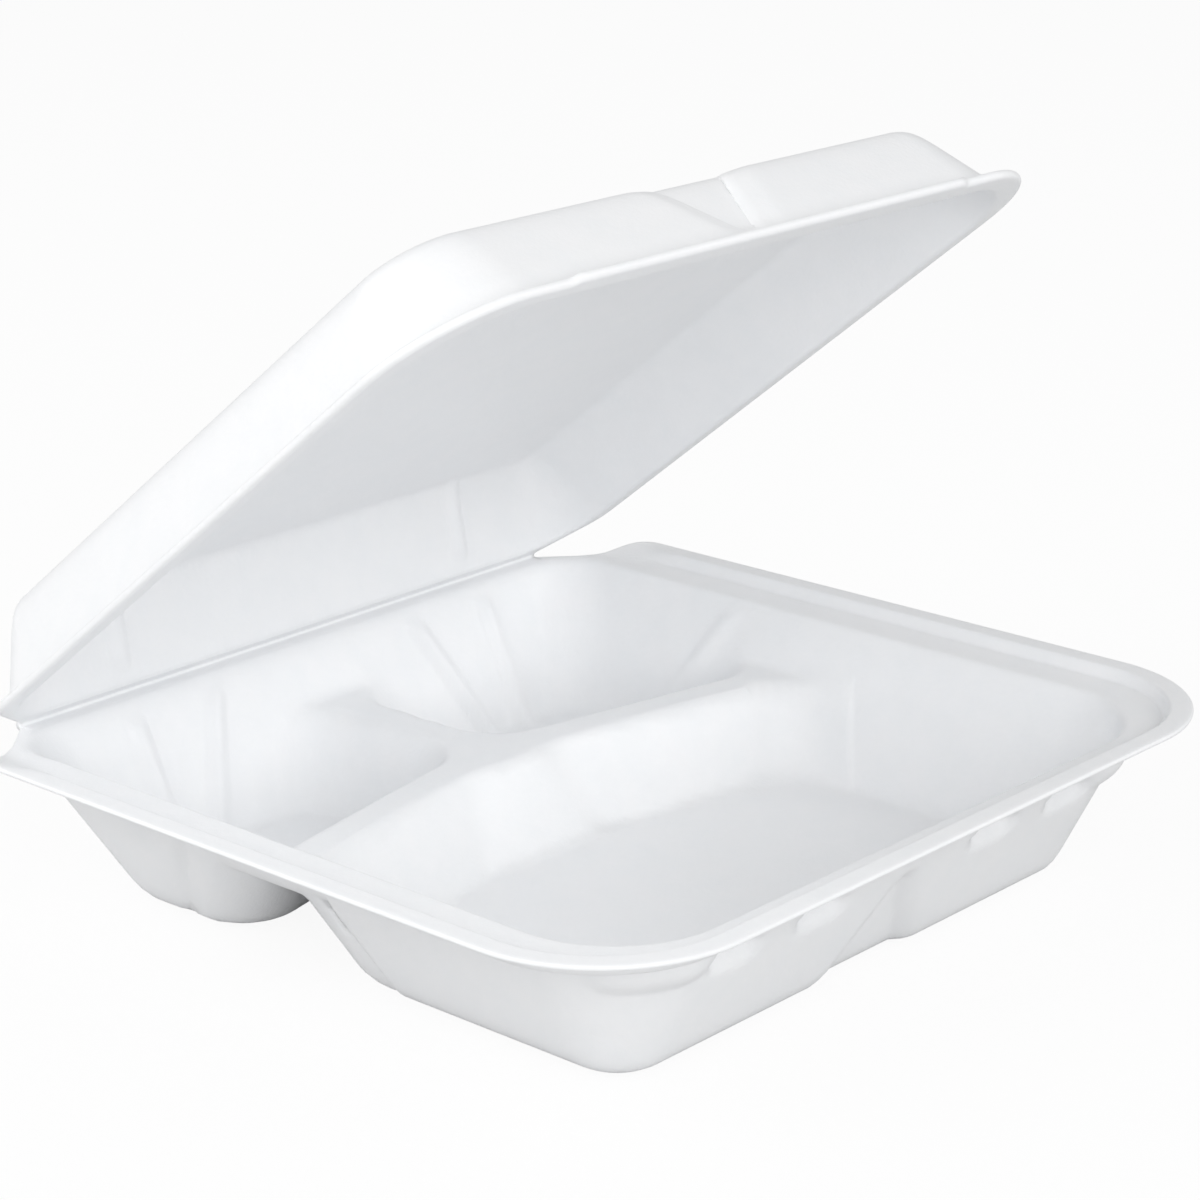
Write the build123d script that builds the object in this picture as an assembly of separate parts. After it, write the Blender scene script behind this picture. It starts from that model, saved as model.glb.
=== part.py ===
from build123d import *
import math
import os

os.makedirs("parts", exist_ok=True)

# Whole container in millimetres, standing open on a table.
# X runs along the hinge, Y from the front lip back to the hinge, and Z up from the table.
width = 203.0
depth = 190.5
sheet = 2.0
gap = 0.3
lid_open = 38.2

# Base tray: outer lip, the seat a step lower for the lid rim, and the tapered walls below it.
lip_top = 36.0
lip_step = 2.6
lip_width = 5.6
lip_edge = 1.1
lip_corner = 33.0
side_ledge = 9.9
front_ledge = 5.8
back_shelf = 5.8
draft = 26.0
mouth_front_corner = 24.0
mouth_back_corner = 27.0
floor_round = 4.5
rim_round = 0.8
mouth_round = 2.0

# Dividers: one shallow V across the tray and one partition from the V to the back wall.
ridge_top = 21.3
ridge_half = 4.6
ridge_round = 4.0
apex_back = 61.75
vee_slope = 0.196
apex_round = 26.0
junction_round = 12.0
flare_round = 13.0

# Hinge line and the notches cut into both rims at its ends, from the tray's sides and the hinge line.
hinge_inset = 22.3
bead = 1.0
notch_inset = 14.0
notch_back = 8.25
tip_back = 16.75
tip_round = 5.0

# Shallow features pressed into the walls, spaced from the ends of the wall that carries them.
# The recess, ribs and lugs stand inward, and the two pockets bulge outward at the front corners.
recess_half = 15.0
recess_deep = 2.3
recess_from = 13.0
recess_ramp = 62.0
rib_radius = 3.0
rib_sink = 1.7
outer_rib_inset = 32.0
inner_rib_top_space = 24.5
inner_rib_low_space = 11.0
side_rib_back = 49.25
lug_radius = 4.6
lug_sink = 2.8
lug_drop = 8.5
lug_inset = 33.0
lug_space = 25.5
lug_long = 9.0
pocket_turn = 22.0
pocket_radius = 5.0
pocket_drop = 5.6
pocket_long = 11.0

# Lid: a shallow cover whose rim lies on the seat, inside the lip.
lid_side_play = 2.9
lid_front_play = 2.2
lid_corner = 25.0
lid_tip_back = 13.75
lid_flange = 5.0
lid_back_flange = 4.0
lid_back_edge = 0.5
lid_height = 21.5
lid_draft = 27.0
lid_wall_corner = 24.0
lid_wall_back_corner = 16.0
lid_top_round = 5.0
lid_recess_top = 9.6
lid_recess_low = 4.0
lid_recess_from = 6.0
lid_tab_inset = 35.0
lid_tab_out = 1.5
lid_tab_round = 1.2
lid_rib_inset = 36.0

# How closely an edge is matched, and how far a cutter runs past what it cuts.
close_to = 0.01
past = 5.0

# Places of the tray that follow from the sizes above.
seat = lip_top - lip_step
half_width = width / 2
front_y = -depth / 2
axis_y = depth / 2 - bead
axis_z = seat + gap / 2
cosine = math.cos(math.radians(draft))
sine = math.sin(math.radians(draft))
lean = sheet / cosine
mouth_half = half_width - lip_width - side_ledge
mouth_front = front_y + lip_width + front_ledge
mouth_back = axis_y - back_shelf
hinge_half = half_width - hinge_inset
apex_y = axis_y - apex_back


def outline(z, half, front, back, front_corner, back_corner):
    # A closed plan outline with rounded corners, drawn at height z.
    with BuildSketch(Plane.XY.offset(z)) as drawn:
        with BuildLine():
            Polyline((-half, front), (half, front), (half, back), (-half, back), close=True)
        make_face()
        fillet(drawn.vertices().sort_by(Axis.Y)[:2], front_corner)
        fillet(drawn.vertices().filter_by(lambda v: v.Y > back - close_to), back_corner)
    return drawn.sketch


def tub(grow, low):
    # The tapered bowl of the tray from the seat down to low, its plan grown by grow.
    plan = outline(
        seat,
        mouth_half + grow,
        mouth_front - grow,
        mouth_back + grow,
        mouth_front_corner + grow,
        mouth_back_corner + grow,
    )
    return extrude(plan, amount=low - seat, taper=draft)


def dividers(top, half, top_round, corner):
    # The V and the partition as one ridged body, wider toward the foot.
    far = width
    rise = half * math.sqrt(1 + vee_slope**2)
    drop = far * vee_slope
    with BuildSketch(Plane.XY.offset(top)) as drawn:
        with BuildLine():
            Polyline(
                (0, apex_y + rise),
                (-far, apex_y + rise - drop),
                (-far, apex_y - rise - drop),
                (0, apex_y - rise),
                (far, apex_y - rise - drop),
                (far, apex_y + rise - drop),
                close=True,
            )
        make_face()
        tip = drawn.vertices().filter_by(lambda v: abs(v.X) < close_to).sort_by(Axis.Y)[:1]
        fillet(tip, apex_round)
    vee = extrude(drawn.sketch, amount=-top - past, taper=-draft)
    with BuildSketch(Plane.XY.offset(top)) as strip:
        with Locations((0, apex_y + far / 2)):
            Rectangle(2 * half, far)
    body = vee + extrude(strip.sketch, amount=-top - past, taper=-draft)
    near = top + corner
    inside = body.edges().filter_by(
        lambda e: close_to < abs(e.center().X) < near
        and abs(e.position_at(0).Z - e.position_at(1).Z) > top / 2
        and apex_y < e.center().Y < apex_y + near
    )
    body = fillet(inside, corner)
    crest = body.edges().filter_by(
        lambda e: abs(e.position_at(0).Z - top) < close_to
        and abs(e.position_at(1).Z - top) < close_to
        and abs(e.center().X) < far - past
        and e.center().Y < apex_y + far - past
    )
    return fillet(crest, top_round) if top_round else body


def bowl(grow, low, ridge, half, top_round, corner, flare, foot):
    # The tub with the dividers taken out of it, then every corner and foot rounded.
    body = tub(grow, low) - dividers(ridge, half, top_round, corner)
    wall_run = seat * math.tan(math.radians(draft))
    arm_y = apex_y - vee_slope * mouth_half
    end_top = ridge + close_to if top_round else ridge - half
    ends = body.edges().filter_by(
        lambda e: low + close_to < e.center().Z < end_top
        and (
            (abs(e.center().X) > mouth_half - wall_run and abs(e.center().Y - arm_y) < half + wall_run)
            or (abs(e.center().X) < half + wall_run and e.center().Y > mouth_back - wall_run)
        )
    )
    body = fillet(ends, flare)
    feet = body.edges().filter_by(lambda e: abs(e.position_at(0.5).Z - low) < close_to)
    return fillet(feet, foot)


def rim_plan(z, half, front, back, corner, tip, notch=None):
    # A rim outline with rounded front corners and a notch cut at each end of the hinge.
    right = [(half, tip), (hinge_half, back)]
    if notch:
        right.insert(1, notch)
    left = [(-x, y) for x, y in reversed(right)]
    with BuildSketch(Plane.XY.offset(z)) as drawn:
        with BuildLine():
            Polyline((-half, front), (half, front), *right, *left, close=True)
        make_face()
        fillet(drawn.vertices().sort_by(Axis.Y)[:2], corner)
        fillet(drawn.vertices().filter_by(lambda v: abs(v.Y - tip) < close_to), tip_round)
    return drawn.sketch


def block(z0, z1, half, front, corner):
    # A prism with the rounded front of a rim, running on past the hinge.
    return extrude(outline(z0, half, front, depth, corner, rim_round), amount=z1 - z0)


def bar(wall, x0, x1, y0, y1, radius, sink):
    # A round bar lying along a wall plane, sunk so that part of it shows.
    a = wall.from_local_coords(Vector(x0, y0, -sink))
    b = wall.from_local_coords(Vector(x1, y1, -sink))
    return extrude(Plane(a, z_dir=b - a) * Circle(radius), amount=(b - a).length)


def pill(wall, x, y, long, radius, sink):
    # A bar with ball ends lying across a wall plane.
    half = long / 2
    ends = [wall * Pos(x + side * half, y, -sink) * Sphere(radius) for side in (-1, 1)]
    return bar(wall, x - half, x + half, y, y, radius, sink) + ends


def corner_pocket(side, radius):
    # A bulge with ball ends in the wall of a front corner, turned from the front toward the side.
    turn = math.radians(pocket_turn)
    out_x = side * math.sin(turn)
    out_y = -math.cos(turn)
    x = side * (mouth_half - mouth_front_corner) + mouth_front_corner * out_x
    y = mouth_front + mouth_front_corner + mouth_front_corner * out_y
    wall = Plane((x, y, seat), x_dir=(-out_y, out_x, 0), z_dir=(-out_x * cosine, -out_y * cosine, sine))
    return pill(wall, 0, pocket_drop / cosine, pocket_long, radius, 0)


def panel(wall, near, far, y0, y1, high):
    # A flat raised panel on a wall plane, near wide at y0 and far wide at y1, with sloping sides.
    with BuildSketch(wall.offset(high)) as drawn:
        with BuildLine():
            Polyline((-near, y0), (near, y0), (far, y1), (-far, y1), close=True)
        make_face()
    return extrude(drawn.sketch, amount=-past, taper=-recess_ramp)


# Tray: the outer skin, the rim and the corner bulges, with the hollow taken out.
inner = bowl(0, sheet, ridge_top, ridge_half, ridge_round, junction_round, flare_round, floor_round)
outer = bowl(
    lean,
    0,
    ridge_top - sheet,
    ridge_half - lean,
    0,
    junction_round + sheet,
    flare_round + sheet,
    floor_round + sheet,
)
seat_half = half_width - lip_width
seat_front = front_y + lip_width
seat_corner = lip_corner - lip_width
notch = (half_width - notch_inset, axis_y - notch_back)
rim_edge = rim_plan(seat - sheet, half_width, front_y, axis_y - gap, lip_corner, axis_y - tip_back, notch)
rim = extrude(rim_edge, amount=lip_top - seat + sheet)
rim -= block(seat, lip_top + past, seat_half, seat_front, seat_corner)
under = block(seat - sheet - past, lip_top - lip_edge, half_width + past, front_y - past, lip_corner)
under -= block(seat - sheet - past, lip_top, seat_half + sheet, seat_front - sheet, seat_corner + sheet)
rim -= under
lip_edges = rim.edges().filter_by(lambda e: abs(e.position_at(0.5).Z - lip_top) < close_to)
rim = fillet(lip_edges, rim_round)
base = outer + rim
for side in (-1, 1):
    base += corner_pocket(side, pocket_radius)
base -= inner
mouth = base.edges().filter_by(
    lambda e: abs(e.position_at(0.5).Z - seat) < close_to
    and abs(e.position_at(0.5).X) < mouth_half + close_to
    and mouth_front - close_to < e.position_at(0.5).Y < mouth_back + close_to
)
base = fillet(mouth, mouth_round)

# Wall planes of the tray: local x along the wall, y down it and z into the hollow.
front_wall = Plane((0, mouth_front, seat), x_dir=(1, 0, 0), z_dir=(0, cosine, sine))
back_wall = Plane((0, mouth_back, seat), x_dir=(-1, 0, 0), z_dir=(0, -cosine, sine))
right_wall = Plane((mouth_half, 0, seat), x_dir=(0, 1, 0), z_dir=(-cosine, 0, sine))
left_wall = Plane((-mouth_half, 0, seat), x_dir=(0, -1, 0), z_dir=(cosine, 0, sine))
wall_long = seat / cosine

# Pressed ribs, lock lugs and the finger recess, each hollow on the outside, and the corner pockets.
outer_rib_x = mouth_half - outer_rib_inset
inner_rib_top_x = outer_rib_x - inner_rib_top_space
inner_rib_low_x = outer_rib_x - inner_rib_low_space
side_rib_y = axis_y - side_rib_back
ribs = [(right_wall, side_rib_y, side_rib_y), (left_wall, -side_rib_y, -side_rib_y)]
for side in (-1, 1):
    ribs.append((back_wall, side * outer_rib_x, side * outer_rib_x))
    ribs.append((back_wall, side * inner_rib_top_x, side * inner_rib_low_x))
pressed = []
hollows = []
for wall, top_x, low_x in ribs:
    pressed.append(bar(wall, top_x, low_x, 0, wall_long + sheet, rib_radius, rib_sink))
    hollows.append(bar(wall, top_x, low_x, rib_radius, wall_long + sheet, rib_radius - sheet, rib_sink))
lug_y = lug_drop / cosine
for side in (-1, 1):
    for lug_x in (mouth_half - lug_inset, mouth_half - lug_inset - lug_space):
        pressed.append(pill(front_wall, side * lug_x, lug_y, lug_long, lug_radius, lug_sink))
        hollows.append(pill(front_wall, side * lug_x, lug_y, lug_long, lug_radius - sheet, lug_sink))
recess = (front_wall, recess_half, recess_half, recess_from, wall_long + 2 * past)
pressed.append(panel(*recess, recess_deep))
hollows.append(panel(*recess, recess_deep - sheet) & outer)
for tool in pressed:
    base += tool & inner
hollows += [corner_pocket(side, pocket_radius - sheet) for side in (-1, 1)]
for tool in hollows:
    base -= tool
hinge_line = Pos(0, axis_y, axis_z) * Rot(Y=90)
base += hinge_line * Cylinder(bead, 2 * hinge_half)

# Lid, drawn closed on the seat and then opened about the hinge line.
lid_foot = seat + gap
lid_half = seat_half - lid_side_play
lid_front = seat_front + lid_front_play
lid_lean = sheet / math.cos(math.radians(lid_draft))
wall_half = lid_half - lid_flange
wall_front = lid_front + lid_flange
wall_back = axis_y - lid_back_flange


def cover(grow, high, top_round):
    # The tapered cover above the rim, its plan grown by grow.
    plan = outline(
        lid_foot,
        wall_half + grow,
        wall_front - grow,
        wall_back + grow,
        lid_wall_corner + grow,
        lid_wall_back_corner + grow,
    )
    body = extrude(plan, amount=high, taper=lid_draft)
    top = body.edges().filter_by(lambda e: abs(e.position_at(0.5).Z - lid_foot - high) < close_to)
    return fillet(top, top_round)


lid_outer = cover(lid_lean, lid_height, lid_top_round + sheet)
lid_inner = cover(0, lid_height - sheet, lid_top_round)
lid_edge = rim_plan(lid_foot, lid_half, lid_front, axis_y - lid_back_edge, lid_corner, axis_y - lid_tip_back)
plate = extrude(lid_edge, amount=sheet)
lid_tab_half = lid_half - lid_tab_inset
with BuildSketch(Plane.XY.offset(lid_foot)) as tab:
    with Locations((0, lid_front)):
        RectangleRounded(2 * lid_tab_half, 2 * lid_tab_out, lid_tab_round)
plate += extrude(tab.sketch, amount=sheet)
lid = lid_outer + plate - lid_inner

# Wall planes of the lid, and its finger recess and ribs.
lid_cos = math.cos(math.radians(lid_draft))
lid_sin = math.sin(math.radians(lid_draft))
lid_front_wall = Plane((0, wall_front, lid_foot), x_dir=(-1, 0, 0), z_dir=(0, lid_cos, -lid_sin))
lid_back_wall = Plane((0, wall_back, lid_foot), x_dir=(1, 0, 0), z_dir=(0, -lid_cos, -lid_sin))
lid_long = lid_height / lid_cos
lid_recess_widen = (lid_recess_top - lid_recess_low) / (lid_long - lid_recess_from)
lid_recess_far = lid_recess_top + lid_recess_widen * 2 * past
lid_recess = (lid_front_wall, lid_recess_low, lid_recess_far, lid_recess_from, lid_long + 2 * past)
lid += panel(*lid_recess, recess_deep) & lid_inner
lid -= panel(*lid_recess, recess_deep - sheet) & lid_outer
lid_rib_x = wall_half - lid_rib_inset
for x in (-lid_rib_x, lid_rib_x):
    lid += bar(lid_back_wall, x, x, 0, lid_long, rib_radius, rib_sink) & lid_inner
    lid -= bar(lid_back_wall, x, x, rib_radius, lid_long, rib_radius - sheet, rib_sink)
lid -= hinge_line * Cylinder(bead + gap, 2 * hinge_half + sheet)
lid = lid.rotate(Axis((0, axis_y, axis_z), (1, 0, 0)), -lid_open)

export_step(base, "parts/base_tray.step")
export_step(lid, "parts/hinged_lid.step")
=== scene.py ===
import bpy
import math
import numpy as np
from mathutils import Matrix, Vector


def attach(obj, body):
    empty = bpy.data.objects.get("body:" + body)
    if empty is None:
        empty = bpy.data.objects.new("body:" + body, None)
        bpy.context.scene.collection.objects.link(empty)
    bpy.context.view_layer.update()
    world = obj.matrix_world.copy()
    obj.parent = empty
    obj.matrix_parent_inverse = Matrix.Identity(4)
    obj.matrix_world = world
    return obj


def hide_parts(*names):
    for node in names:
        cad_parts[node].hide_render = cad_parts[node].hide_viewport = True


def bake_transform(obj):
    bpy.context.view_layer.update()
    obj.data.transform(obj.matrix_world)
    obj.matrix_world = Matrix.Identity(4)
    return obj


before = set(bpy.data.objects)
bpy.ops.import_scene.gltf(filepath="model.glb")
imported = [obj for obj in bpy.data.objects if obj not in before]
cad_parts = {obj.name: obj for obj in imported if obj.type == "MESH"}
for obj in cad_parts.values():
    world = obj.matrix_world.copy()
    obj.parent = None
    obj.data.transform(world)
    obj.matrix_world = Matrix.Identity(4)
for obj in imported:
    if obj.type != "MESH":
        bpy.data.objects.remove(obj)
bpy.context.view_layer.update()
print("frame loaded:", sorted(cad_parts))

mm = 0.001

# shared sizes of the moulded sheet, in millimetres
sheetForm = {
    "thickness": 2.0,
    "edgeSteps": 5,         # rows round a cut edge
    "pressSteps": 5,        # rounds in which pressed details settle on a wall
    "hingeY": 94.25,
    "hingeZ": 33.55,
    "hingeHalf": 79.2,
    "openDegrees": 38.2,
    "tipRun": 5.0,          # the rim starts to round this far before a back tip
    "tipShare": 0.42,       # and is straight again at this share of the way to the notch
    "tipColumns": 0.45,     # share of the notch's columns in that curve
    "turnShare": 0.09,      # share of the hinge edge next to its end, for the corner's columns
    "notchShift": (0.3, 0.2),   # how far a notch moves in: always, and per millimetre of inset
    "endInset": 0.25,       # share of an inset by which the hinge ends move in
}


def softMax(a, b, width):
    # the larger of two heights, eased with a cubic where they come within width of each other
    ease = np.clip(width - np.abs(a - b), 0.0, None) / width
    return np.maximum(a, b) + ease**3 * width / 6.0


def softMin(a, b, width):
    # the smaller of two heights, eased in the same way
    return -softMax(-a, -b, width)


def smooth(t):
    # a cubic step from 0 to 1 with level ends
    t = np.clip(t, 0.0, 1.0)
    return t * t * (3.0 - 2.0 * t)


def rampUp(value, ramp):
    # the same step laid on a ramp that is given by its start and its length
    start, length = ramp
    return smooth((value - start) / length)


def roundMin(a, b, radius):
    # the smaller of two wall distances, with the corner between the walls rounded to one radius
    # at every depth
    apart = np.minimum(np.abs(a - b), radius)
    rounded = (a + b + np.sqrt(2.0 * radius**2 - apart**2)) / 2.0 - radius
    return np.where(apart < radius, rounded, np.minimum(a, b))


def insideBox(x, y, half, front, back, frontCorner, backCorner):
    # distance inside a rounded rectangle, negative outside it
    middle = (front + back) / 2.0
    corner = np.where(y < middle, frontCorner, backCorner)
    qx = np.abs(x) - (half - corner)
    qy = np.abs(y - middle) - ((back - front) / 2.0 - corner)
    outside = np.hypot(np.clip(qx, 0.0, None), np.clip(qy, 0.0, None))
    return corner - (np.minimum(np.maximum(qx, qy), 0.0) + outside)


def evenSteps(count):
    # even shares of a run, from its start to one step before its end
    return np.arange(count) / count


def arc(centre, radius, fromDegrees, toDegrees, t):
    # points at shares t of an arc between two angles
    angle = np.radians(fromDegrees + (toDegrees - fromDegrees) * t)
    return np.stack([centre[0] + radius * np.cos(angle), centre[1] + radius * np.sin(angle)], 1)


def alongLine(points, t):
    # points at shares t of a broken line, each leg taking an equal share
    points = np.asarray(points, float)
    legs = len(points) - 1
    place = np.clip(t, 0.0, 1.0) * legs
    leg = np.minimum(place.astype(int), legs - 1)
    part = (place - leg)[:, None]
    return points[leg] * (1.0 - part) + points[leg + 1] * part


def closeLoop(rightHalf):
    # a right half running from the front middle to the back middle, mirrored into a closed loop
    left = rightHalf[::-1][1:-1] * [-1.0, 1.0]
    return np.concatenate([rightHalf, left])


def runShares(runs):
    # columns of a straight run as shares of its length, each (start, count) pair even up to
    # the next start
    starts = [start for start, count in runs]
    edges = np.cumsum([0] + [count for start, count in runs])[:-1]
    places = np.interp(np.arange(edges[-1]), edges, starts)
    return (places - starts[0]) / (starts[-1] - starts[0])


def columnShares(s):
    # the columns of one piece's three straight runs
    return [runShares(s[key]) for key in ("frontRuns", "sideRuns", "backRuns")]


def boxLoop(half, front, back, frontCorner, backCorner, shares, counts, splitDegrees):
    # half a rounded rectangle in six runs: front, front corner, side, back corner in two, back
    frontShares, sideShares, backShares = shares
    nCorner, nNotch, nTurn = counts
    cornerMid = (half - frontCorner, front + frontCorner)
    backMid = (half - backCorner, back - backCorner)
    return np.concatenate([
        alongLine([(0.0, front), (cornerMid[0], front)], frontShares),
        arc(cornerMid, frontCorner, -90.0, 0.0, evenSteps(nCorner)),
        alongLine([(half, cornerMid[1]), (half, backMid[1])], sideShares),
        arc(backMid, backCorner, 0.0, splitDegrees, evenSteps(nNotch)),
        arc(backMid, backCorner, splitDegrees, 90.0, evenSteps(nTurn)),
        alongLine([(backMid[0], back), (0.0, back)], np.append(backShares, 1.0)),
    ])


def rimLoop(half, front, corner, tip, middle, end, shares, counts):
    # half a rim outline: front, front corner, side, a quadratic curve round the back tip,
    # straight legs by the notch to the hinge end, then along the hinge
    frontShares, sideShares, backShares = shares
    nCorner, nNotch, nTurn = counts
    cornerMid = (half - corner, front + corner)
    tipPoint = np.array([half, tip])
    tipStart = (half, tip - sheetForm["tipRun"])
    tipEnd = tuple(tipPoint + sheetForm["tipShare"] * (np.array(middle) - tipPoint))
    columns = evenSteps(nNotch)
    curved = sheetForm["tipColumns"]
    t = np.clip(columns / curved, 0.0, 1.0)[:, None]
    curve = (1 - t) ** 2 * tipStart + 2 * t * (1 - t) * tipPoint + t**2 * np.array(tipEnd)
    rest = alongLine([tipEnd, middle, end], (columns - curved) / (1.0 - curved))
    notch = np.where((columns < curved)[:, None], curve, rest)
    turn = sheetForm["turnShare"]
    last = np.concatenate([turn * evenSteps(nTurn), turn + (1.0 - turn) * backShares, [1.0]])
    return np.concatenate([
        alongLine([(0.0, front), (cornerMid[0], front)], frontShares),
        arc(cornerMid, corner, -90.0, 0.0, evenSteps(nCorner)),
        alongLine([(half, cornerMid[1]), tipStart], sideShares),
        notch,
        alongLine([end, (0.0, end[1])], last),
    ])


def rimRing(s, inset, backInset):
    # one piece's rim outline moved in by inset, and by backInset along the hinge
    always, perInset = sheetForm["notchShift"]
    shift = always + perInset * inset
    box = (s["half"] - inset, s["front"] + inset, s["corner"] - inset)
    tip = s["tip"] - inset * s["tipInset"]
    notch = tuple(place - shift * turn for place, turn in zip(s["notch"], s["notchTurn"]))
    end = (sheetForm["hingeHalf"] - inset * sheetForm["endInset"], s["backEdge"] - backInset)
    return closeLoop(rimLoop(*box, tip, notch, end, columnShares(s), s["counts"]))


def ringGrid(loops, rows, pole, poleRows, polePower):
    # rows of points from the first loop inward, evenly shared between neighbouring loops,
    # then to the pole
    stack = []
    for outer, inner, count in zip(loops[:-1], loops[1:], rows):
        t = evenSteps(count)[:, None, None]
        stack.append(outer[None] * (1.0 - t) + inner[None] * t)
    t = (1.0 - evenSteps(poleRows))[:, None, None] ** polePower
    stack.append(np.asarray(pole, float) + (loops[-1][None] - pole) * t)
    return np.concatenate(stack)


def skinNormals(points):
    # unit normals of a closed ring grid from its two tangent directions, on the side that
    # mostly faces up
    around = np.roll(points, -1, 1) - np.roll(points, 1, 1)
    across = np.gradient(points, axis=0)
    normal = np.cross(across, around)
    normal /= np.linalg.norm(normal, axis=2, keepdims=True) + 1e-12     # never divides by nothing
    return normal * np.sign(normal[..., 2].sum())


def sheetMesh(name, plan, height, press, thickness, edgeRound, place=None):
    # one skin is the height over the plan with pressed details moved along its normals, the
    # other lies a thickness away along the normals, and rounded edge rows join them round the rim
    x, y = plan[..., 0], plan[..., 1]
    skin = np.stack([x, y, height(x, y)], 2)
    skin = skin + skinNormals(skin) * press(x, y)[..., None]
    gauge = thickness(x, y)
    other = skin + skinNormals(skin) * gauge[..., None]
    ringCount = plan.shape[1]
    rim, rimOther = skin[0], other[0]
    middle = (rim + rimOther) / 2.0
    outward = np.roll(rim, -1, 0) - np.roll(rim, 1, 0)
    outward = np.stack([outward[:, 1], -outward[:, 0], 0 * outward[:, 0]], 1)
    outward /= np.linalg.norm(outward, axis=1, keepdims=True)
    angles = np.linspace(0.0, math.pi, sheetForm["edgeSteps"] + 2)[1:-1, None, None]
    edge = middle + (rim - middle) * np.cos(angles) + outward * edgeRound * np.sin(angles)
    grids = np.concatenate([skin[::-1], edge, other])
    rowCount = grids.shape[0]
    verts = np.concatenate([grids.reshape(-1, 3), skin.mean(1)[-1:], other.mean(1)[-1:]])
    index = np.arange(rowCount * ringCount).reshape(rowCount, ringCount)
    after = np.roll(index, -1, 1)
    quads = np.stack([index[:-1], after[:-1], after[1:], index[1:]], 2).reshape(-1, 4)
    startPole, endPole = len(verts) - 2, len(verts) - 1
    caps = np.concatenate([
        np.stack([np.full(ringCount, startPole), after[0], index[0]], 1),
        np.stack([np.full(ringCount, endPole), index[-1], after[-1]], 1),
    ])
    # faces turn outward whichever side the second skin lies on
    if gauge.mean() < 0.0:
        quads, caps = quads[:, ::-1], caps[:, ::-1]
    if place is not None:
        verts = verts @ np.array(place.to_3x3()).T + np.array(place.translation)
    return putMesh(name, verts * mm, quads, caps)


def putMesh(name, verts, quads, caps):
    # quads and triangles put into a mesh as whole arrays, shaded smooth
    mesh = bpy.data.meshes.new(name)
    loops = np.concatenate([quads.ravel(), caps.ravel()]).astype(np.int32)
    sizes = np.concatenate([np.full(len(quads), 4), np.full(len(caps), 3)]).astype(np.int32)
    mesh.vertices.add(len(verts))
    mesh.vertices.foreach_set("co", verts.astype(np.float32).ravel())
    mesh.loops.add(len(loops))
    mesh.loops.foreach_set("vertex_index", loops)
    mesh.polygons.add(len(sizes))
    mesh.polygons.foreach_set("loop_start", (np.cumsum(sizes) - sizes).astype(np.int32))
    mesh.update(calc_edges=True)
    mesh.validate()
    mesh.polygons.foreach_set("use_smooth", np.ones(len(mesh.polygons), bool))
    piece = bpy.data.objects.new(name, mesh)
    bpy.context.collection.objects.link(piece)
    print(name, "verts", len(verts), "faces", len(sizes))
    return piece


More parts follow.
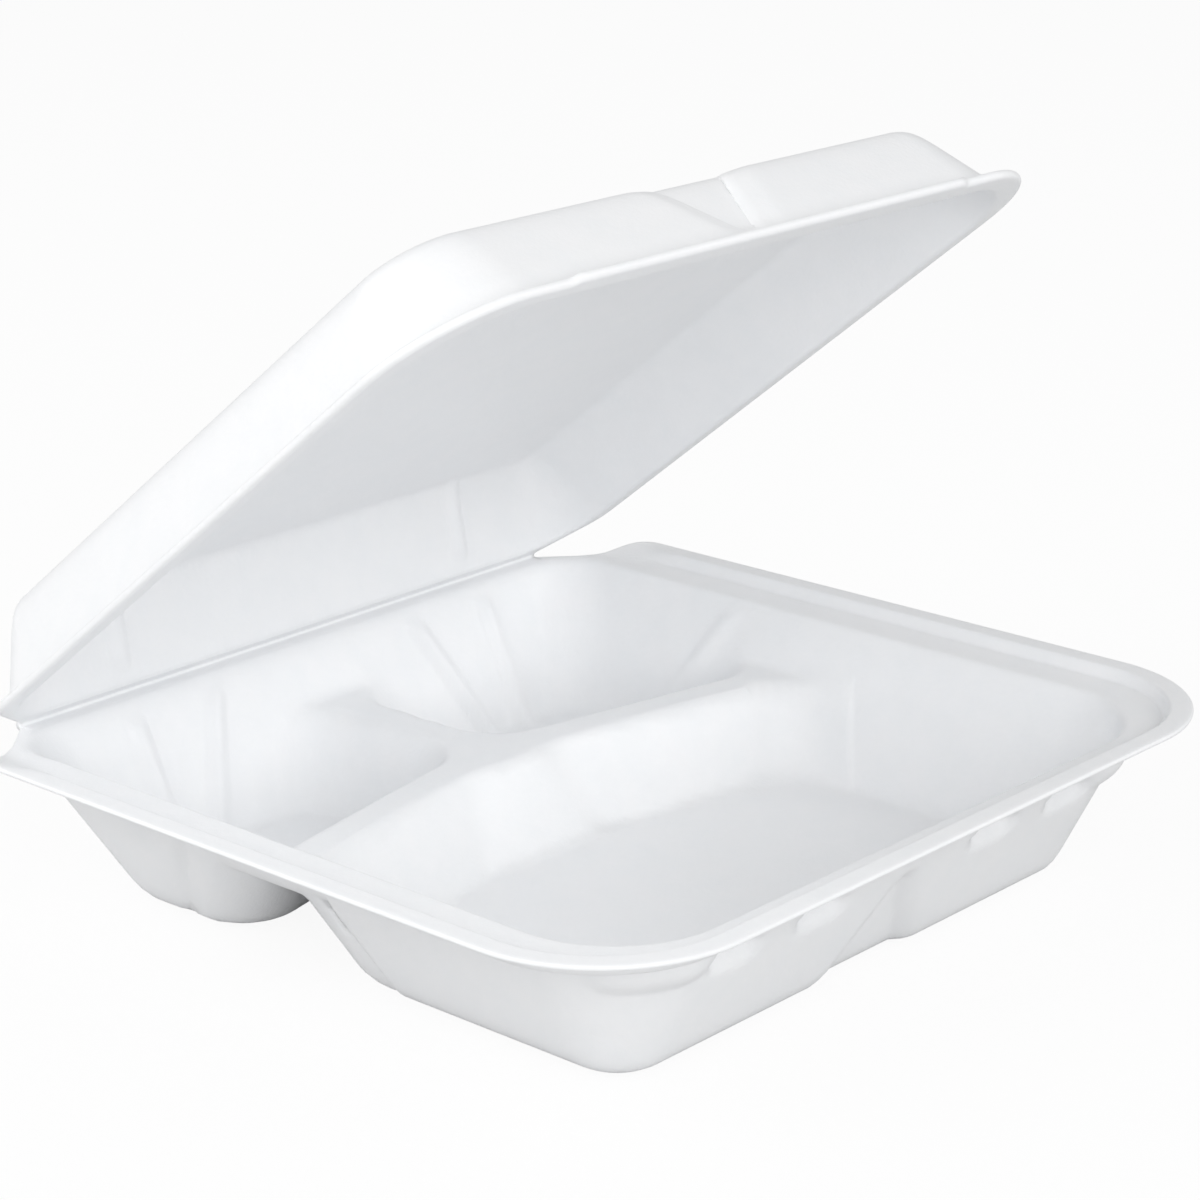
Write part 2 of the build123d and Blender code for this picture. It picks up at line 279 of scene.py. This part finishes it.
# the divided tray: lip, seat, tapered walls, V and partition
# a value named a ramp holds where a change starts and the length over which it eases in
tray = {
    "half": 101.5,
    "front": -95.25,
    "lipTop": 36.0,
    "seat": 33.4,
    "seatBack": 220.0,      # far past the hinge, where the seat has no edge
    "seatCorner": 1.0,      # of that far end, which no point of the plan reaches
    "lipWidth": 5.6,
    "lipSlope": 1.9,        # plan width of the step from lip down to seat
    "tipSlope": 9.0,        # the step runs out into a slope toward the back tips
    "tipRamp": (-14.0, 12.0),   # along y, from the tip
    "lipEdge": 1.1,         # the lip is pressed thinner than the sheet
    "lipRamp": (-2.2, 1.6),     # inward from the seat's edge
    "edgeRound": 0.5,
    "corner": 33.0,
    "tip": 77.5,
    "tipInset": 0.55,       # share of an inset by which the tip moves
    "notch": (87.5, 86.0),
    "notchTurn": (0.69, 0.72),  # direction in which the notch moves in
    "backEdge": 93.3,
    "mouthHalf": 86.0,
    "mouthFront": -83.85,
    "mouthBack": 88.45,
    "mouthCorner": 24.0,    # front corners, tighter toward the foot
    "backCorner": 13.0,     # back corners, the same all the way down
    "backRamp": (2.0, 30.0),    # along y, where the back corners take over
    "draft": 26.0,
    "floor": 2.0,
    "footEase": 5.2,
    "mouthEase": 3.2,
    "hingeEase": 3.6,       # added to it along the hinge
    "hingeRamp": (70.0, 14.0),  # along y
    "ridgeTop": 21.3,
    "ridgeHalf": 4.6,
    "ridgeEase": 3.6,
    "ridgeWallEase": 7.0,
    "ridgeRamp": (8.0, 12.0),   # away from the dividers, where the ridge top lets go of the wall
    "apexY": 32.5,
    "veeSlope": 0.196,
    "veeEase": 5.1,
    "flare": 13.0,
    "junction": 12.0,
    "wallRamp": (-26.0, 6.0),   # toward a wall from inside, where its pressed details count
    "bumpRamp": (0.6, 2.2),     # down from the mouth's edge
    "ribs": ((54.0, 54.0), (29.5, 43.0)),
    "ribHalf": 3.3,
    "ribHigh": 1.2,
    "fluteHigh": 0.9,
    "flute": (33.0, 50.3),  # on each side wall, from the mouth back to the foot
    "lugs": (53.0, 27.5),
    "lugHalf": 4.5,
    "lugReach": 3.65,
    "lugHigh": 2.6,
    "lugDown": 9.5,
    "pocketTurn": 30.0,     # degrees from the front round toward the side
    "pocketHalf": 6.0,
    "pocketReach": 6.2,
    "pocketDeep": 1.9,
    "pocketDown": 6.2,
    "recessTop": 0.9,       # half width of its floor at its upper end
    "recessFrom": 13.0,     # how far down the wall that end lies
    "recessWiden": 0.5,     # growth of the half width per millimetre down the wall
    "recessDeep": 2.3,
    "recessRise": 4.3,      # width of the slope round it
    "flareStep": 0.9,       # the flare of the V ends in this step on each side wall
    "flareDepths": (6.0, 15.0),     # distances in from the mouth's edge
    "flareEnds": (-4.5, -12.5),     # y of the step at those distances
    "flareRise": 1.4,
    "flareFade": 15.0,
    "flareRamp": (4.0, 2.0),    # down from the mouth's edge
    # columns of each straight run: where a stretch starts and how many columns it takes
    "frontRuns": ((0.0, 44), (62.0, 0)),
    "sideRuns": ((-60.0, 12), (-15.0, 24), (-1.0, 8), (29.0, 30), (54.0, 6), (75.5, 0)),
    "backRuns": ((73.0, 6), (60.0, 18), (48.0, 30), (26.0, 8), (0.0, 0)),
    "counts": (26, 24, 10),     # columns of front corner, notch and turn to the hinge
    "splitDegrees": 75.0,       # where the back corner's arc goes from notch to turn
    "rimRings": ((4.3, 0.8), (7.0, 1.4)),   # inset all round, inset along the hinge
    "mouthRing": (1.6, 14.0),   # growth past the mouth, back corner
    "wallRings": (-1.0, -8.0, -12.0, -20.0),
    "ringRows": (4, 8, 3, 6, 15, 5, 9),
    "poleRows": 45,
    "polePower": 1.3,
}


def ribBump(offset, half, high):
    # a rounded ridge across a wall: high in the middle, nothing beyond half
    return high * np.clip(1.0 - (offset / half) ** 2, 0.0, None) ** 1.5


def mouthInside(x, y):
    # distance inside the mouth: a rounded box in front, and toward the back two walls with
    # rounded corners
    s = tray
    corner = s["mouthCorner"]
    box = insideBox(x, y, s["mouthHalf"], s["mouthFront"], s["mouthBack"], corner, corner)
    back = roundMin(s["mouthHalf"] - np.abs(x), s["mouthBack"] - y, s["backCorner"])
    toBack = rampUp(y, s["backRamp"])
    return box * (1.0 - toBack) + back * toBack


def seatInside(x, y):
    # distance inside the seat's edge: the rim's rounded box less the lip, open at the hinge
    s = tray
    inset = s["lipWidth"]
    box = (s["half"] - inset, s["front"] + inset, s["seatBack"])
    return insideBox(x, y, *box, s["corner"] - inset, s["seatCorner"])


def trayBumps(x, y, wall):
    # distances that the walls are pressed into the hollow: ribs, side flutes, finger recess,
    # flare step
    s = tray
    side = np.abs(x)
    fullDepth = (s["seat"] - s["floor"]) * math.tan(math.radians(s["draft"]))
    downWall = wall / math.sin(math.radians(s["draft"]))
    started = rampUp(wall, s["bumpRamp"])
    nearBack = rampUp(y - s["mouthBack"], s["wallRamp"])
    nearSide = rampUp(side - s["mouthHalf"], s["wallRamp"])
    nearFront = rampUp(s["mouthFront"] - y, s["wallRamp"])
    top, low = s["flute"]
    place = top + (low - top) * wall / fullDepth
    bump = nearSide * started * ribBump(y - place, s["ribHalf"], s["fluteHigh"])
    for top, low in s["ribs"]:
        place = top + (low - top) * wall / fullDepth
        bump += nearBack * started * ribBump(side - place, s["ribHalf"], s["ribHigh"])
    rise = s["recessRise"]
    half = s["recessTop"] + s["recessWiden"] * (downWall - s["recessFrom"])
    across = smooth((half + rise - side) / rise)
    down = smooth((downWall - s["recessFrom"] + rise) / rise)
    bump += nearFront * s["recessDeep"] * across * down
    past = y - np.interp(wall, s["flareDepths"], s["flareEnds"])
    step = smooth(past / s["flareRise"]) * (1.0 - smooth(past / s["flareFade"]))
    return bump + nearSide * s["flareStep"] * (step * rampUp(wall, s["flareRamp"]))


def pressIn(inside, draft, bumps):
    # the wall distance once bumps have moved the wall inward, found in a few averaged steps
    lean = 1.0 / math.cos(math.radians(draft))
    wall = inside
    for _ in range(sheetForm["pressSteps"]):
        wall = 0.5 * (wall + inside - lean * bumps(wall))
    return inside - lean * bumps(wall)


def trayHeight(x, y):
    # height of the tray's upper skin over its plan: below the seat by the least distance from
    # walls, V and partition times the walls' steepness, held under the ridge top and over the floor
    s = tray
    steep = 1.0 / math.tan(math.radians(s["draft"]))
    side = np.abs(x)
    wall = pressIn(mouthInside(x, y), s["draft"], lambda wall: trayBumps(x, y, wall))
    # distances from the V and from the partition, as if they were walls too
    crest = s["apexY"] - s["veeSlope"] * np.sqrt(x**2 + s["veeEase"] ** 2)
    fromVee = np.abs(y - crest) / math.sqrt(1.0 + s["veeSlope"] ** 2)
    fromPartition = np.where(y > crest, side, np.hypot(side, y - crest))
    below = (s["seat"] - s["ridgeTop"]) / steep - s["ridgeHalf"]
    pocket = roundMin(fromVee + below, fromPartition + below, s["junction"])
    pocket = roundMin(wall, pocket, s["flare"])
    fromDivider = np.minimum(fromVee, fromPartition)
    margin = s["ridgeEase"] * rampUp(fromDivider, s["ridgeRamp"])
    wallTop = s["seat"] - steep * wall
    cap = softMax(np.full_like(x, s["ridgeTop"]), wallTop + margin, s["ridgeWallEase"])
    z = softMin(s["seat"] - steep * pocket, cap, s["ridgeEase"])
    z = softMax(z, np.full_like(x, s["floor"]), s["footEase"])
    # the seat round the mouth, and the lip a step above it
    ease = s["mouthEase"] + s["hingeEase"] * rampUp(y, s["hingeRamp"])
    z = softMin(z, np.full_like(x, s["seat"]), ease)
    slope = s["lipSlope"] + s["tipSlope"] * rampUp(y - s["tip"], s["tipRamp"])
    step = smooth((slope / 2.0 - seatInside(x, y)) / slope)
    return z + (s["lipTop"] - s["seat"]) * step


def trayPress(x, y):
    # lock lugs stand into the hollow and the corner pockets bulge out of it, both as pills
    # along the wall
    s = tray
    side = np.abs(x)
    downWall = mouthInside(x, y) / math.sin(math.radians(s["draft"]))
    press = np.zeros_like(x)
    for place in s["lugs"]:
        past = np.clip(np.abs(side - place) - s["lugHalf"], 0.0, None)
        reach = np.hypot(past, downWall - s["lugDown"])
        press += s["lugHigh"] * np.clip(1.0 - (reach / s["lugReach"]) ** 2, 0.0, None)
    corner = s["mouthCorner"]
    turn = math.radians(s["pocketTurn"])
    fromX = side - s["mouthHalf"] + corner
    fromY = y - s["mouthFront"] - corner
    along = fromX * math.cos(turn) + fromY * math.sin(turn)
    past = np.clip(np.abs(along) - s["pocketHalf"], 0.0, None)
    reach = np.hypot(past, downWall - s["pocketDown"])
    press -= s["pocketDeep"] * np.clip(1.0 - (reach / s["pocketReach"]) ** 2, 0.0, None) ** 2
    return press * (y < s["mouthFront"] + corner)


def trayThickness(x, y):
    # the full sheet, thinner out on the lip, measured down from the upper skin
    s = tray
    more = sheetForm["thickness"] - s["lipEdge"]
    return -(s["lipEdge"] + more * rampUp(seatInside(x, y), s["lipRamp"]))


def trayPlan():
    # rings from the rim over lip and seat, down the walls at even insets, then to a pole on the V
    s = tray

    def mouth(grow, backCorner):
        box = (s["mouthHalf"] + grow, s["mouthFront"] - grow, s["mouthBack"] + grow)
        corners = (s["mouthCorner"] + grow, backCorner)
        return closeLoop(boxLoop(*box, *corners, columnShares(s), s["counts"], s["splitDegrees"]))

    loops = [rimRing(s, s["edgeRound"], 0.0)]
    loops += [rimRing(s, inset, backInset) for inset, backInset in s["rimRings"]]
    loops += [mouth(*s["mouthRing"])]
    loops += [mouth(grow, s["backCorner"]) for grow in s["wallRings"]]
    return ringGrid(loops, s["ringRows"], (0.0, s["apexY"]), s["poleRows"], s["polePower"])


trayPiece = sheetMesh(
    "foam_tray", trayPlan(), trayHeight, trayPress, trayThickness, tray["edgeRound"]
)

# the lid, worked out closed and then turned open about the hinge
lid = {
    "half": 93.0,
    "front": -87.45,
    "corner": 25.0,
    "tip": 80.5,
    "tipInset": 0.4,        # share of an inset by which the tip moves
    "notch": (86.1, 86.65),
    "notchTurn": (0.67, 0.75),  # direction in which the notch moves in
    "foot": 33.7,
    "backEdge": 92.8,
    "edgeRound": 0.9,
    "tabHalf": 58.0,
    "tabOut": 1.5,
    "tabEase": 1.6,         # width of the small step at each end of the tab
    "tabFade": 4.0,         # inset at which the tab no longer shows
    "wallHalf": 88.0,
    "wallFront": -82.45,
    "wallBack": 90.25,
    "wallCorners": (24.0, 16.0),
    "draft": 27.0,
    "high": 19.5,
    "topEase": 7.0,
    "footEase": 2.4,
    "wallRamp": (-24.0, 6.0),   # toward a wall from inside, where its pressed details count
    "ribX": 52.0,
    "ribHalf": 2.8,
    "ribHigh": 1.3,
    "ribRamp": (0.8, 2.0),      # in from the wall's foot
    "recessLow": 3.2,       # half width of its floor at its low end
    "recessFrom": 6.0,      # how far up the wall that low end lies
    "recessWiden": 0.46,    # growth of the half width per millimetre up the wall
    "recessDeep": 2.3,
    "recessRise": 5.4,      # width of the slope at its low end
    "recessSide": 7.0,      # its sides rise in a sharp step and then a gentle slope of this width
    "recessStep": 1.7,
    "recessShare": 0.55,    # share of the depth taken by the sharp step
    "frontRuns": ((0.0, 3), (2.4, 20), (12.0, 26), (54.0, 12), (64.0, 0)),
    "sideRuns": ((-58.0, 60), (74.0, 0)),
    "backRuns": ((72.0, 6), (58.0, 18), (46.0, 18), (0.0, 0)),
    "counts": (34, 22, 9),      # columns of front corner, notch and turn to the hinge
    "splitDegrees": 66.0,       # where the back corner's arc goes from notch to turn
    "flangeRing": (2.6, 0.7),   # inset all round, inset along the hinge
    "wallRings": (1.2, -1.8, -7.0, -15.0),
    "ringRows": (4, 3, 6, 12, 16),
    "poleY": 2.0,
    "poleRows": 24,
    "polePower": 1.2,
    # front columns lean with the recess: full lean from the second to the third place in x,
    # about leanMiddle up the wall and within leanUp, faded out further in
    "leanPlaces": (0.0, 6.0, 12.0, 40.0),
    "leanShares": (0.0, 1.0, 1.0, 0.0),
    "leanMiddle": 12.0,
    "leanUp": (3.0, 30.0),
    "leanGone": 80.0,
    "leanFade": 40.0,
}


def lidBumps(x, y, wall):
    # distances that the lid's walls are pressed into its hollow: finger recess in front, ribs
    # at the back
    s = lid
    side = np.abs(x)
    up = wall / math.sin(math.radians(s["draft"]))
    rise = s["recessRise"]
    past = s["recessLow"] + s["recessWiden"] * (up - s["recessFrom"]) - side
    share = s["recessShare"]
    sharp = smooth(past / s["recessStep"] + 1.0)
    gentle = smooth(past / s["recessSide"] + 1.0)
    across = share * sharp + (1.0 - share) * gentle
    recess = across * smooth((up - s["recessFrom"] + rise) / rise)
    nearFront = rampUp(s["wallFront"] - y, s["wallRamp"])
    nearBack = rampUp(y - s["wallBack"], s["wallRamp"])
    ribs = rampUp(wall, s["ribRamp"]) * ribBump(side - s["ribX"], s["ribHalf"], s["ribHigh"])
    return nearFront * s["recessDeep"] * recess + nearBack * ribs


def lidHeight(x, y):
    # height of the lid's inner skin over its plan, closed on the tray: the distance from the
    # walls times their steepness, held under the top and over the flange
    s = lid
    steep = 1.0 / math.tan(math.radians(s["draft"]))
    inside = insideBox(x, y, s["wallHalf"], s["wallFront"], s["wallBack"], *s["wallCorners"])
    wall = pressIn(inside, s["draft"], lambda wall: lidBumps(x, y, wall))
    z = softMin(steep * wall, np.full_like(x, s["high"]), s["topEase"])
    return s["foot"] + softMax(z, np.zeros_like(x), s["footEase"])


def lidPlan():
    # rings from the rim over the flange, up the walls at even insets, then to a pole in the top
    s = lid

    def rim(inset, backInset):
        loop = rimRing(s, inset, backInset)
        atFront = loop[:, 1] < 0.0
        fromEnd = s["tabHalf"] + s["tabEase"] / 2.0 - np.abs(loop[:, 0])
        tab = smooth(fromEnd / s["tabEase"]) * atFront
        loop[:, 1] -= s["tabOut"] * tab * np.clip(1.0 - inset / s["tabFade"], 0.0, 1.0)
        return loop

    def wall(grow):
        front, back = s["wallCorners"]
        box = (s["wallHalf"] + grow, s["wallFront"] - grow, s["wallBack"] + grow)
        corners = (front + grow, back + grow)
        return closeLoop(boxLoop(*box, *corners, columnShares(s), s["counts"], s["splitDegrees"]))

    loops = [rim(s["edgeRound"], 0.0), rim(*s["flangeRing"])]
    loops += [wall(grow) for grow in s["wallRings"]]
    plan = ringGrid(loops, s["ringRows"], (0.0, s["poleY"]), s["poleRows"], s["polePower"])
    x, y = plan[..., 0], plan[..., 1]
    up = (y - s["wallFront"]) / math.sin(math.radians(s["draft"]))
    weight = np.interp(np.abs(x), s["leanPlaces"], s["leanShares"])
    weight = weight * smooth((s["leanGone"] - up) / s["leanFade"])
    lean = s["recessWiden"] * (np.clip(up, *s["leanUp"]) - s["leanMiddle"])
    plan[..., 0] += np.sign(x) * weight * lean
    return plan


def lidPress(x, y):
    # no lugs or pockets on the lid
    return np.zeros_like(x)


def lidThickness(x, y):
    # the full sheet everywhere, measured up from the inner skin
    return np.full_like(x, sheetForm["thickness"])


hingePoint = Vector((0.0, sheetForm["hingeY"], sheetForm["hingeZ"]))
openTurn = (
    Matrix.Translation(hingePoint)
    @ Matrix.Rotation(math.radians(-sheetForm["openDegrees"]), 4, "X")
    @ Matrix.Translation(-hingePoint)
)
lidPiece = sheetMesh(
    "foam_lid", lidPlan(), lidHeight, lidPress, lidThickness, lid["edgeRound"], openTurn
)

# the living hinge: a thin strip of the same sheet bent round the fold line
fold = {
    "half": 79.0,
    "reach": 2.6,           # how far each flap lies along its half
    "radius": 1.0,          # outside of the bend, about the hinge line
    "hollow": 0.5,          # inside of the bend
    "proud": 0.05,          # flaps stand this far off the sheet
    "dip": 0.2,             # ends of the flaps sink into it
    "dipPower": 8,          # a high power keeps the dip to the very ends
    "legSteps": 7,
    "steps": 14,
    "columns": 120,
    "turnHalf": 0.95,       # how far before the hinge line a turn with the lid would start
}


def foldMesh():
    # the section is two lines carried along the hinge: the inner runs along the tray's shelf,
    # round a small hollow and up the lid's flange, and the outer goes round the hinge line
    s = fold
    turn = math.radians(sheetForm["openDegrees"])
    axis = np.array([sheetForm["hingeY"], sheetForm["hingeZ"]])
    toLid = np.array([-math.cos(turn), math.sin(turn)])
    lidOut = np.array([math.sin(turn), math.cos(turn)])
    bisector = np.array([-math.cos(turn / 2.0), math.sin(turn / 2.0)])
    off = sheetForm["hingeZ"] - tray["seat"] - s["proud"]
    hollow = axis + bisector * (s["hollow"] - off) / math.sin(turn / 2.0)
    bend = np.linspace(0.0, 1.0, s["steps"])
    bendTo = 90.0 - sheetForm["openDegrees"]
    legs = np.linspace(1.0, 0.0, s["legSteps"])[:-1, None]
    sunk = s["dip"] * legs ** s["dipPower"]
    down = np.array([0.0, -1.0])
    inner = arc(hollow, s["hollow"], -90.0, bendTo, bend)
    trayLeg = inner[0] + legs * [-s["reach"], 0.0] + sunk * down
    lidLeg = inner[-1] + legs * s["reach"] * toLid + sunk * lidOut
    inner = np.concatenate([trayLeg, inner, lidLeg[::-1]])
    outer = arc(axis, s["radius"], -90.0, bendTo, bend)
    reach = s["reach"] + axis[0] - hollow[0]
    trayLeg = outer[0] + legs * [-reach, 0.0]
    lidLeg = outer[-1] + legs * reach * toLid
    outer = np.concatenate([trayLeg, outer, lidLeg[::-1]])
    ring = np.concatenate([inner, outer[::-1]])
    xs = np.linspace(-s["half"], s["half"], s["columns"] + 1)
    n = len(ring)
    verts = np.concatenate([np.repeat(xs, n)[:, None], np.tile(ring, (len(xs), 1))], 1)
    index = np.arange(len(xs) * n).reshape(len(xs), n)
    after = np.roll(index, -1, 1)
    quads = np.stack([index[:-1], index[1:], after[1:], after[:-1]], 2).reshape(-1, 4)
    half = n // 2
    low, high = index[[0, -1], :half], index[[0, -1], half:][:, ::-1]
    ends = np.stack([low[:, :-1], low[:, 1:], high[:, 1:], high[:, :-1]], 2)
    quads = np.concatenate([quads, ends[0], ends[1][:, ::-1]])
    return putMesh("living_hinge", verts * mm, quads, np.zeros((0, 3), int))


foldPiece = foldMesh()
print("sheet pieces made")


def hexColour(text):
    # an sRGB hex value as linear light
    parts = [int(text[i:i + 2], 16) / 255.0 for i in (1, 3, 5)]
    return [p / 12.92 if p <= 0.04045 else ((p + 0.055) / 1.055) ** 2.4 for p in parts] + [1.0]


def addNode(tree, kind, inputs=None, **settings):
    # one node with its settings, each input a value or the output it is linked from
    node = tree.nodes.new(kind)
    for key, value in settings.items():
        setattr(node, key, value)
    for key, value in (inputs or {}).items():
        if isinstance(value, bpy.types.NodeSocket):
            tree.links.new(value, node.inputs[key])
        else:
            node.inputs[key].default_value = value
    return node


def newMaterial(name):
    material = bpy.data.materials.new(name)
    material.use_nodes = True
    material.node_tree.nodes.clear()
    return material, material.node_tree


foam = {
    "colour": "#fafafb",
    "shade": "#f3f5f7",
    "roughness": 0.37,
    "ior": 1.5,
    "cellMm": 1.1,          # closed cells pressed flat in the skin
    "patchMm": 9.0,         # soft mottling where the sheet stretched
    "cellBump": 0.25,
    "bumpMm": 0.3,
}


# moulded polystyrene foam sheet: white, a satin skin with fine flattened cells that break up
# its highlights
def foamMaterial():
    material, tree = newMaterial("moulded_polystyrene_foam")
    place = addNode(tree, "ShaderNodeTexCoord").outputs["Object"]
    cells = addNode(tree, "ShaderNodeTexNoise", {
        "Vector": place,
        "Scale": 1.0 / (foam["cellMm"] * mm),
        "Detail": 2.0,
        "Roughness": 0.55,
    })
    patches = addNode(tree, "ShaderNodeTexNoise", {
        "Vector": place,
        "Scale": 1.0 / (foam["patchMm"] * mm),
        "Detail": 3.0,
        "Roughness": 0.6,
    })
    # inputs 6 and 7 and output 2 are the mix node's colours
    tint = addNode(tree, "ShaderNodeMix", {"Factor": patches.outputs["Fac"]}, data_type="RGBA")
    tint.inputs[6].default_value = hexColour(foam["colour"])
    tint.inputs[7].default_value = hexColour(foam["shade"])
    bump = addNode(tree, "ShaderNodeBump", {
        "Height": cells.outputs["Fac"],
        "Strength": foam["cellBump"],
        "Distance": foam["bumpMm"] * mm,
    })
    shader = addNode(tree, "ShaderNodeBsdfPrincipled", {
        "Base Color": tint.outputs[2],
        "Roughness": foam["roughness"],
        "IOR": foam["ior"],
        "Normal": bump.outputs["Normal"],
    })
    addNode(tree, "ShaderNodeOutputMaterial", {"Surface": shader.outputs[0]})
    return material


foamSkin = foamMaterial()
for piece in (trayPiece, lidPiece, foldPiece):
    piece.data.materials.append(foamSkin)
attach(trayPiece, "tray")
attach(lidPiece, "lid")
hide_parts("base_tray")
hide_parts("hinged_lid")
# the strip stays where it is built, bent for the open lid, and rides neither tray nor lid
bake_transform(foldPiece)
print("foam skin on, pieces riding")

studio = {
    "white": "#ffffff",
    "paper": "#f4f4f4",
    "bounce": "#d8d8d8",
    "glow": 0.92,           # share of plain white in the floor that the camera sees
    "floorSize": 6.0,
    "worldLight": 0.50,
    "aim": (0.0, 0.0, 0.05),
    "lamps": (
        # name, place in metres, size, watts
        ("left_back_softbox", (-0.9, 0.45, 1.0), 0.9, 2.6),
        ("left_rim_softbox", (-0.65, 0.95, 0.6), 0.8, 3.4),
        ("left_side_softbox", (-1.3, 0.1, 0.55), 0.9, 3.0),
        ("left_front_softbox", (-0.6, -1.2, 0.6), 0.9, 7.9),
        ("right_front_softbox", (0.85, -1.0, 0.7), 0.9, 3.8),
    ),
}


def floorMaterial():
    # a pale floor: the camera sees it nearly white with the object's soft shadow, and it lights
    # the object from below no more than a grey table would
    material, tree = newMaterial("pale_studio_floor")
    path = addNode(tree, "ShaderNodeLightPath")
    paper = addNode(tree, "ShaderNodeBsdfDiffuse", {"Color": hexColour(studio["paper"])})
    glow = addNode(tree, "ShaderNodeEmission", {
        "Color": hexColour(studio["white"]),
        "Strength": 1.0,
    })
    seen = addNode(tree, "ShaderNodeMixShader", {
        0: studio["glow"],
        1: paper.outputs[0],
        2: glow.outputs[0],
    })
    bounce = addNode(tree, "ShaderNodeBsdfDiffuse", {"Color": hexColour(studio["bounce"])})
    mix = addNode(tree, "ShaderNodeMixShader", {
        0: path.outputs["Is Camera Ray"],
        1: bounce.outputs[0],
        2: seen.outputs[0],
    })
    addNode(tree, "ShaderNodeOutputMaterial", {"Surface": mix.outputs[0]})
    return material


def addFloor():
    r = studio["floorSize"] / 2.0
    corners = np.array([(-r, -r, 0.0), (r, -r, 0.0), (r, r, 0.0), (-r, r, 0.0)])
    noCaps = np.zeros((0, 3), int)
    floorPiece = putMesh("studio_floor", corners, np.array([[0, 1, 2, 3]]), noCaps)
    floorPiece.data.materials.append(floorMaterial())


def addWorld():
    # plain white to the camera, and a dimmer white light on the object
    world = bpy.data.worlds.new("studio_world")
    world.use_nodes = True
    tree = world.node_tree
    tree.nodes.clear()
    path = addNode(tree, "ShaderNodeLightPath")
    dim = addNode(tree, "ShaderNodeBackground", {
        "Color": hexColour(studio["white"]),
        "Strength": studio["worldLight"],
    })
    white = addNode(tree, "ShaderNodeBackground", {
        "Color": hexColour(studio["white"]),
        "Strength": 1.0,
    })
    mix = addNode(tree, "ShaderNodeMixShader", {
        0: path.outputs["Is Camera Ray"],
        1: dim.outputs[0],
        2: white.outputs[0],
    })
    addNode(tree, "ShaderNodeOutputWorld", {"Surface": mix.outputs[0]})
    bpy.context.scene.world = world


def addLamps():
    for name, place, size, watts in studio["lamps"]:
        light = bpy.data.lights.new(name, "AREA")
        light.shape = "SQUARE"
        light.size = size
        light.energy = watts
        lamp = bpy.data.objects.new(name, light)
        lamp.location = place
        toAim = Vector(studio["aim"]) - Vector(place)
        lamp.rotation_euler = toAim.to_track_quat("-Z", "Y").to_euler()
        bpy.context.collection.objects.link(lamp)


view = {
    "eye": (-0.4930, -0.4487, 0.2807),
    "azimuth": -47.69,
    "elevation": 18.16,
    "roll": -0.49,
    "lens": 101.65,
    "sensor": 36.0,
    "clipStart": 0.01,
}


def addCamera():
    # the camera's three directions from its azimuth, elevation and roll
    a, e, r = (math.radians(view[key]) for key in ("azimuth", "elevation", "roll"))
    back = Vector((math.sin(a) * math.cos(e), -math.cos(a) * math.cos(e), math.sin(e)))
    right = Vector((math.cos(a), math.sin(a), 0.0))
    up = back.cross(right)
    turned = right * math.cos(r) + up * math.sin(r)
    upright = up * math.cos(r) - right * math.sin(r)
    camera = bpy.data.cameras.new("photo_camera")
    camera.lens = view["lens"]
    camera.sensor_width = view["sensor"]
    camera.clip_start = view["clipStart"]
    holder = bpy.data.objects.new("photo_camera", camera)
    matrix = Matrix((turned, upright, back)).transposed().to_4x4()
    matrix.translation = Vector(view["eye"])
    holder.matrix_world = matrix
    bpy.context.collection.objects.link(holder)
    bpy.context.scene.camera = holder


addFloor()
addWorld()
addLamps()
addCamera()
bpy.context.scene.view_settings.view_transform = "Standard"
print("studio ready")
